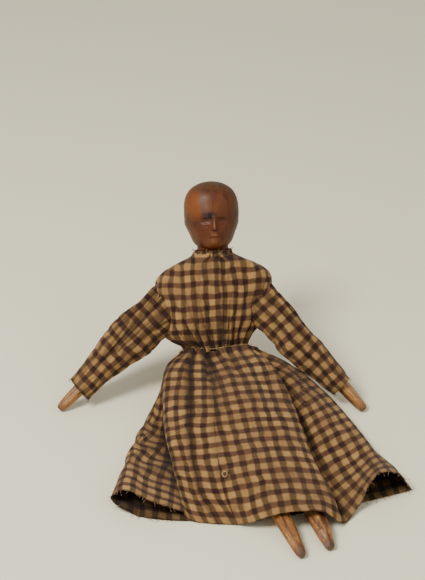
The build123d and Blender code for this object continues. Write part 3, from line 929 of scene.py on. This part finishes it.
def bodice_place(column, row):
    """A point of the bodice with its gathers, pulled folds, wrinkles and lap, and the painted shade in its
    creases.
    """
    x, level, depth = bodice_rings[row][column % BODICE_COLUMNS]
    angle = 2 * pi * (column % BODICE_COLUMNS) / BODICE_COLUMNS
    low, high = exp(-(level - BODICE_LOW) / 7), exp(-(BODICE_HIGH - level) / 3.5)
    inner = min(1, abs(depth) / 5)
    gather = sin(angle * WAIST_GATHERS + 1.3 * sin(angle * 3))
    neck_gather = sin(angle * WAIST_GATHERS)
    lift = 1.7 * low * gather + 0.5 * high * neck_gather
    crease = 0.85 * max(0, -gather) ** 2 * low + 0.4 * max(0, -neck_gather) * high
    lift += exp(-(level - BODICE_LOW) / 22) * sin(angle * WAIST_RIPPLES + 0.5 + 0.02 * level)
    lift += 1.8 * noise.noise(Vector((x / 13 + level / 40, depth / 16, level / 24))) * inner
    crumple = noise.noise(Vector((x / 10 - level / 30, depth / 11, level / 22 + 7)))
    lift -= 1.1 * exp(-abs(crumple) / 0.1) * inner
    crease += 0.3 * exp(-abs(crumple) / 0.05) * inner
    crease += 0.5 * step(abs(sin(angle)), 0.88, 1) * (1 - step(level, 58, 72))   # painted shade under the arms
    if depth > 0:
        for foot, head_x, top, deep in BODICE_FOLDS:
            rise = (level - BODICE_LOW) / (top - BODICE_LOW)
            if rise < 1:
                away = x - foot - (head_x - foot) * rise ** 0.8
                deep_here = deep * (1 - rise) ** 0.7
                lift -= 1.4 * deep_here * (exp(-abs(away) / 0.9) - 0.6 * bulge(away, 2.6, 2.0))
                crease += 0.75 * deep_here * exp(-abs(away) / 0.75)
        away = x - bodice_rings[row][LAP_COLUMN].x
        lift += 1.1 * step(away, -0.2, 0.3) * (1 - step(away, 1, 10))
        lift -= 0.9 * bulge(away, -0.5, 0.8)
        crease += 1.4 * bulge(away, -0.4, 0.6)
    outward = Vector((1 if x > 0 else -1, 0, 0))
    if abs(depth) > 0.5:
        outward = Vector((x * 0.8, 0, depth)).normalized()
    return on_torso(x + outward.x * lift, level, depth + outward.z * lift), crease


def bodice_flat(column, row, first):
    """The threads run straight from the middle of the front, and jump where it laps."""
    anchor, chest_arcs = BODICE_COLUMNS // 2, bodice_arcs[BODICE_ROWS // 2]
    true = bodice_arcs[row][column] - bodice_arcs[row][anchor]
    chest = chest_arcs[column] - chest_arcs[anchor]
    lap = LAP_SHIFT if first >= LAP_COLUMN else 0
    return (true * 0.1 + chest * 0.9) * 1.04 + lap, bodice_rings[row][column].y * 1.06


bodice = finish_piece("bodice", woven_grid(BODICE_COLUMNS, BODICE_ROWS, bodice_place, bodice_flat),
                      gingham_cloth("bodice_gingham", BODICE_SHIFT), "torso")
thicken(bodice, 0.45)
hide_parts("bodice_front", "bodice_back")


NECK_EDGE_COLUMNS, NECK_EDGE_ROWS = 240, 14
NECK_EDGE_RADIUS, NECK_EDGE_LEVEL, NECK_EDGE_HEIGHT = 13.35, 90.4, 4.3
NECK_EDGE_GATHERS = 23


def neck_place(column, row):
    """A narrow strip folded over the neck edge, from its outside to its inside."""
    angle = 2 * pi * (column % NECK_EDGE_COLUMNS) / NECK_EDGE_COLUMNS
    share = row / NECK_EDGE_ROWS
    gather = sin(angle * NECK_EDGE_GATHERS)
    radius = NECK_EDGE_RADIUS + 0.75 * cos(pi * share) + 0.3 * gather * (1 - share)
    level = NECK_EDGE_LEVEL + NECK_EDGE_HEIGHT * max(0, sin(pi * share)) ** 0.6
    level += 0.3 * noise.noise(Vector((cos(angle) * 3, sin(angle) * 3, 5)))
    # the second value is painted shade in the gathers
    return on_torso(radius * sin(angle), level, -radius * cos(angle) * 0.99), 0.5 * max(0, -gather)


def neck_flat(column, row, first):
    return column * 0.42, NECK_EDGE_LEVEL + 0.6 + 0.7 * row


neck_edge = finish_piece("neck_edge", woven_grid(NECK_EDGE_COLUMNS, NECK_EDGE_ROWS, neck_place, neck_flat),
                         gingham_cloth("neck_gingham", BODICE_SHIFT), "torso")
thicken(neck_edge, 0.4)
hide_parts("neck_binding")


# ---------------------------------------------------------------- sleeves
# Loose one-piece sleeves set into deep armholes, narrowing to an open, uncuffed wrist.
# They hang from the top of the arm, so most of their fullness is below it.
SLEEVES = {                                  # distance, room above, room below, half depth
    "right": [(-6, 14, 32, 6), (5, 12.8, 30, 8), (20, 13.4, 25, 12), (30, 14.4, 19.5, 13.8),
              (36, 14.9, 18.2, 14.2), (44, 15.5, 19.4, 13.8), (54, 15.6, 17.6, 13.2), (66, 14.8, 14.8, 12.4),
              (80, 12.6, 11.4, 11), (92, 10.8, 10.8, 9.8), (103.5, 10.0, 11.6, 9.2)],
    "left": [(-6, 13, 27, 6), (7, 12.9, 24, 9), (13, 11.9, 22, 11), (25, 11, 19, 13.4),
             (31, 10.6, 17.8, 13.8), (49, 10.3, 18.4, 13.2), (58, 10.2, 18.4, 12.8), (71, 10, 15.6, 11.8),
             (85, 9, 12.4, 10), (100.5, 6.8, 10, 8.2)],
}
SLEEVE_FOLDS = {                             # turn from the front, drift, start, end, depth
    "right": [(1.05, -0.9, -10, 88, 2.0), (0.6, -0.5, -8, 95, 2.2), (0.2, -0.1, -6, 70, 1.9),
              (0.85, -0.9, -6, 60, 1.5), (-0.25, 0.3, 5, 80, 1.7), (-0.7, 0.5, 8, 60, 1.6),
              (1.5, -0.5, 0, 70, 1.5), (3.0, 0, 10, 90, 1.6)],
    "left": [(0.9, -0.4, -10, 60, 1.9), (0.35, 0.2, -6, 50, 1.7), (-0.15, 0.5, 0, 90, 1.5),
             (-0.7, 0.3, 20, 95, 1.6), (1.4, 0, 10, 90, 1.4), (3.0, 0, 10, 90, 1.6)],
}
SLEEVE_COLUMNS, SLEEVE_ROWS = 190, 120
sleeve_ends = {}

for side, out in SIDES.items():
    pin, line, length = arm_line(side)
    forward = Vector(joints[f"arm_spread_{side}"]["axis"]).normalized()
    if forward.y > 0:
        forward.negate()
    below = line.cross(forward)
    if below.z > 0:
        below.negate()
    stations, folds = SLEEVES[side], SLEEVE_FOLDS[side]
    start, end = stations[0][0], stations[-1][0]
    distances = [start + (end - start) * row / SLEEVE_ROWS for row in range(SLEEVE_ROWS + 1)]
    sections = [profile_at(stations, distance) for distance in distances]

    def sleeve_base(column, row, sections=sections):
        above, under, deep = sections[row]
        angle = 2 * pi * column / SLEEVE_COLUMNS         # from the underside, by way of the front
        return Vector((cos(angle) * (under if cos(angle) > 0 else above), sin(angle) * deep, 0))

    sleeve_arcs = [distances_along([sleeve_base(column, row) for column in range(SLEEVE_COLUMNS + 1)])
                   for row in range(SLEEVE_ROWS + 1)]

    def sleeve_place(column, row, base=sleeve_base, pin=pin, line=line, forward=forward, below=below,
                     folds=folds, out=out, distances=distances):
        a, b, _ = base(column % SLEEVE_COLUMNS, row)
        distance = distances[row]
        angle = 2 * pi * (column % SLEEVE_COLUMNS) / SLEEVE_COLUMNS
        low = cos(angle)
        # crease is painted shade: in the folds and crumples, and near the armhole below
        drop = crease = 0.0
        for turn, drift, first, last, depth in folds:
            centre = pi / 2 + turn + drift * distance / 100
            gap = (angle - centre + pi) % (2 * pi) - pi
            length_share = step(distance, first, first + 14) * (1 - step(distance, last - 30, last))
            drop += 1.4 * depth * length_share * (exp(-abs(gap) / 0.12) - 0.6 * bulge(gap, 0.24, 0.16))
            crease += 0.5 * depth * length_share * exp(-abs(gap) / 0.05)
        drop -= 1.5 * noise.noise(Vector((a / 12, b / 12, distance / 22 + 4 * out)))
        crumple = noise.noise(Vector((a / 9, b / 9, distance / 15 + 9)))
        drop += 1.0 * exp(-abs(crumple) / 0.1)
        crease += 0.3 * exp(-abs(crumple) / 0.05)
        drop += 0.8 * sin(distance / 3.4 + 2.5 * angle) * bulge(distance, 50, 16) * bulge(low, 0.6, 0.8)
        # painted shade on the underside near the armhole
        crease += 0.5 * exp(-max(0, distance - 20) / 6) * step(low, -0.1, 0.7)
        scale = 1 - drop / max(7, hypot(a, b))
        slant = 1.2 * sin(angle + 0.8) * row / SLEEVE_ROWS
        return pin + (below * (a * scale) + forward * (b * scale) + line * (distance + slant)) * MM, crease

    def sleeve_flat(column, row, first, arcs=sleeve_arcs, distances=distances):
        anchor, middle_arcs = SLEEVE_COLUMNS // 4, arcs[SLEEVE_ROWS // 2]
        true = arcs[row][column] - arcs[row][anchor]
        middle = middle_arcs[column] - middle_arcs[anchor]
        return true * 0.5 + middle * 0.5, distances[row]

    shift = (2.0 + out, 2.2)
    tube = woven_grid(SLEEVE_COLUMNS, SLEEVE_ROWS, sleeve_place, sleeve_flat)
    sleeve = finish_piece(f"sleeve_{side}_cloth", tube, gingham_cloth(f"sleeve_gingham_{side}", shift),
                          f"arm_{side}")
    thicken(sleeve, 0.45, gingham_cloth(f"sleeve_inside_{side}", shift, 0.35))
    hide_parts(f"sleeve_{side}")
    sleeve_ends[side] = [sleeve_place(column, SLEEVE_ROWS)[0] for column in range(0, SLEEVE_COLUMNS, 9)]


# ---------------------------------------------------------------- loose threads
# Cotton threads pulled from the worn edges, the long stitches that hold the tear in the
# skirt together, and the whipped edge of a moth hole near the hem.
LOOSE_THREAD, STITCH, BARE_EDGE, TOP_EDGE = 0.13, 0.14, 0.3, 0.28     # radii
STITCHES = 13
noise.seed_set(5)                            # so that the loose ends curl the same way every time


def cotton_thread(name, pale, dark):
    material, tree, shader = new_material(name)
    coords = tree.nodes.new("ShaderNodeTexCoord")
    varied = noise_node(tree, coords.outputs["Object"], 500, 1)
    colour = mix_colour(tree, ramp(tree, varied, 0.4, 0.6), pale, dark)
    tree.links.new(colour, shader.inputs["Base Color"])
    shader.inputs["Roughness"].default_value = 0.9
    return material


def lay_thread(mesh, points, radius):
    """A thin round thread through points in metres."""
    loops = []
    for index, point in enumerate(points):
        ahead = points[min(index + 1, len(points) - 1)] - points[max(index - 1, 0)]
        turn = Vector((0, 0, 1)).rotation_difference(ahead.normalized()).to_matrix()
        ring = bmesh.ops.create_circle(mesh, segments=6, radius=radius * MM, cap_ends=False)["verts"]
        for vert in ring:
            vert.co = turn @ vert.co + point
        loops.append([mesh.edges.get((ring[i], ring[i - 1])) for i in range(6)])
    for lower, upper in zip(loops, loops[1:]):
        bmesh.ops.bridge_loops(mesh, edges=lower + upper)
    for ends in (loops[0], loops[-1]):
        bmesh.ops.contextual_create(mesh, geom=ends)


def fray(mesh, root, way, length, seed):
    """A loose end that curls as it leaves the cloth at its root."""
    points, place, heading = [], root.copy(), way.normalized()
    for index in range(8):
        points.append(place.copy())
        curl = noise.noise_vector(Vector((seed * 3.7, index * 0.45, seed)))
        heading = (heading + curl * 0.75).normalized()
        place = place + heading * (length * MM / 7)
        place.z = max(place.z, 0.6 * MM)
    lay_thread(mesh, points, LOOSE_THREAD)


thread_cotton = cotton_thread("dyed_thread", (0.3, 0.18, 0.08), (0.05, 0.025, 0.018))
# pale cotton for the moth hole's bare edge, also used as a painted highlight along the skirt's top edge
bare_cotton_and_highlight = cotton_thread("bare_thread_and_highlight", (0.36, 0.24, 0.11), (0.24, 0.14, 0.06))
mesh = bmesh.new()
for stitch in range(STITCHES):               # long stitches across the tear
    middle_y = TEAR_TOP - 2 + (TEAR_FOOT + 1 - (TEAR_TOP - 2)) * stitch / (STITCHES - 1)
    reach = 2.0 + 0.9 * sin(stitch * 2.1)
    points = []
    for part in range(7):
        along = part / 3 - 1                 # from -1 to 1 across the tear
        spot = Vector(((tear_line(middle_y) + reach * along) * MM, (middle_y - 0.9 * along) * MM, 0.2))
        found = skirt_surface.ray_cast(spot, Vector((0, 0, -1)))[0]
        if found:
            points.append(found + Vector((0, 0, (0.1 + 0.35 * (1 - along * along)) * MM)))
    if len(points) > 3:
        lay_thread(mesh, points, STITCH)
hem = [skirt_place(column, SKIRT_ROWS)[0] for column in range(len(skirt_columns) - 1)]
for index, root in enumerate(hem):           # the hem has lost its turning at both sides
    worn = not -45 * MM <= root.x <= 75 * MM
    if index % (2 if worn else 9) == 0:
        way = Vector((0.5 * sin(index * 1.9), -1, 0.35 * cos(index * 1.3)))
        fray(mesh, root, way, 1.6 + (2.6 if worn else 1.0) * abs(sin(index * 0.7)), index + 0.5)
finish_piece("skirt_threads", mesh, thread_cotton, "hips")

mesh = bmesh.new()                           # the bare edge of the moth hole, in two turns
for turn_radius in (2.0, 2.45):
    rim = []
    for part in range(19):
        turn = 2 * pi * part / 18
        spot = hole + Vector((cos(turn), sin(turn), 0)) * (turn_radius + 0.2 * sin(turn * 3 + 1)) * MM
        rim.append(skirt_surface.find_nearest(spot)[0] + Vector((0, 0, 0.6 * MM)))
    lay_thread(mesh, rim, BARE_EDGE)
finish_piece("moth_hole_edge", mesh, bare_cotton_and_highlight, "hips")

mesh = bmesh.new()                           # a painted highlight: a pale thread along the folded top edge of the skirt
front_columns = range(first_column[FRONT_EDGE], first_column[LEFT_VALLEY], 2)
edge_line = [skirt_place(column, 1)[0] for column in front_columns]
for _ in range(12):                          # evened out over the gathers
    edge_line[1:-1] = [(a + b + c) / 3 for a, b, c in zip(edge_line, edge_line[1:], edge_line[2:])]
lay_thread(mesh, [point + (torso_up * 0.7 + torso_front * 0.45) * MM for point in edge_line], TOP_EDGE)
finish_piece("skirt_top_edge_highlight", mesh, bare_cotton_and_highlight, "torso")

mesh = bmesh.new()
for index in range(16):                      # the gathered neck edge
    angle = -2.2 + 0.3 * index + 0.1 * sin(index * 2)
    root = on_torso(13.9 * sin(angle), 94.2, 13.9 * cos(angle))
    way = torso_up + Vector((sin(angle) * 0.8, -cos(angle) * 0.3, 0))
    fray(mesh, root, way, 1.6 + abs(sin(index * 1.7)) * 1.6, index + 40.5)
for index in range(9):                       # the worn shoulder seam on the left
    x = 15 + 2.6 * index
    root = on_torso(x, 91.0 - 0.03 * (x - 13) ** 2 - 0.32 * (x - 13), 1.5)
    way = torso_up + Vector((0.3 * sin(index), -0.4, 0))
    fray(mesh, root, way, 1.8 + abs(sin(index * 2.3)), index + 70.5)
for index in range(24):                      # the gathered waist
    angle = -1.9 + index * 0.165
    root = on_torso(25.5 * sin(angle), 21.2, 15.5 * cos(angle))
    way = Vector((sin(angle), -cos(angle), 0.4 * cos(index)))
    fray(mesh, root, way, 1.4 + abs(sin(index * 2.9)) * 1.4, index + 90.5)
finish_piece("bodice_threads", mesh, thread_cotton, "torso")

for side, out in SIDES.items():              # the raw wrists of the sleeves
    mesh = bmesh.new()
    line = arm_line(side)[1]
    for index, root in enumerate(sleeve_ends[side]):
        way = line + Vector((0.5 * sin(index), 0, 0.5 * cos(index * 2)))
        fray(mesh, root, way, 1.2 + 1.8 * abs(sin(index * 1.3)), index + 20.5 + out)
    finish_piece(f"sleeve_{side}_threads", mesh, thread_cotton, f"arm_{side}")


# ---------------------------------------------------------------- floor, camera and light
# A pale seamless surface, a soft key light high on the doll's right, and a gentle fill.
FLOOR_HALF_WIDTH = 3                         # in metres, like all the places of this section

floor_mesh = bmesh.new()
bmesh.ops.create_grid(floor_mesh, x_segments=2, y_segments=2, size=FLOOR_HALF_WIDTH)
pale_floor, _, floor_shader = new_material("pale_floor")
floor_shader.inputs["Base Color"].default_value = (0.9, 0.86, 0.655, 1)
floor_shader.inputs["Roughness"].default_value = 0.75
finish_piece("floor", floor_mesh, pale_floor, None, smooth=False)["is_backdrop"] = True


def area_light(name, place, aim, size, power, colour):
    data = bpy.data.lights.new(name, "AREA")
    data.shape = "DISK"
    data.size = size
    data.energy = power
    data.color = colour
    lamp = bpy.data.objects.new(name, data)
    lamp.location = place
    lamp.rotation_euler = (Vector(aim) - Vector(place)).to_track_quat("-Z", "Y").to_euler()
    bpy.context.scene.collection.objects.link(lamp)


area_light("key", (-0.7, -0.5, 1.2), (0, -0.05, 0), 0.5, 21, (1, 0.97, 0.9))
area_light("fill", (0.9, -0.7, 0.9), (0, -0.05, 0.03), 0.9, 2.5, (0.95, 0.97, 1))
world = bpy.data.worlds.new("studio")
world.use_nodes = True
world.node_tree.nodes["Background"].inputs["Color"].default_value = (1.0, 0.965, 0.9, 1)
world.node_tree.nodes["Background"].inputs["Strength"].default_value = 0.6
bpy.context.scene.world = world

CAMERA_PLACE = (-0.0946, -0.857, 0.6038)
CAMERA_LENS, CAMERA_SENSOR = 86.8966, 36     # in mm
CAMERA_TURN = radians(-6)
CAMERA_PITCH = radians(31)
lens = bpy.data.cameras.new("camera")
lens.lens = CAMERA_LENS
lens.sensor_width = CAMERA_SENSOR
camera = bpy.data.objects.new("camera", lens)
camera.location = CAMERA_PLACE
camera.rotation_euler = (pi / 2 - CAMERA_PITCH, 0, CAMERA_TURN)
bpy.context.scene.collection.objects.link(camera)
bpy.context.scene.camera = camera

low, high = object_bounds()
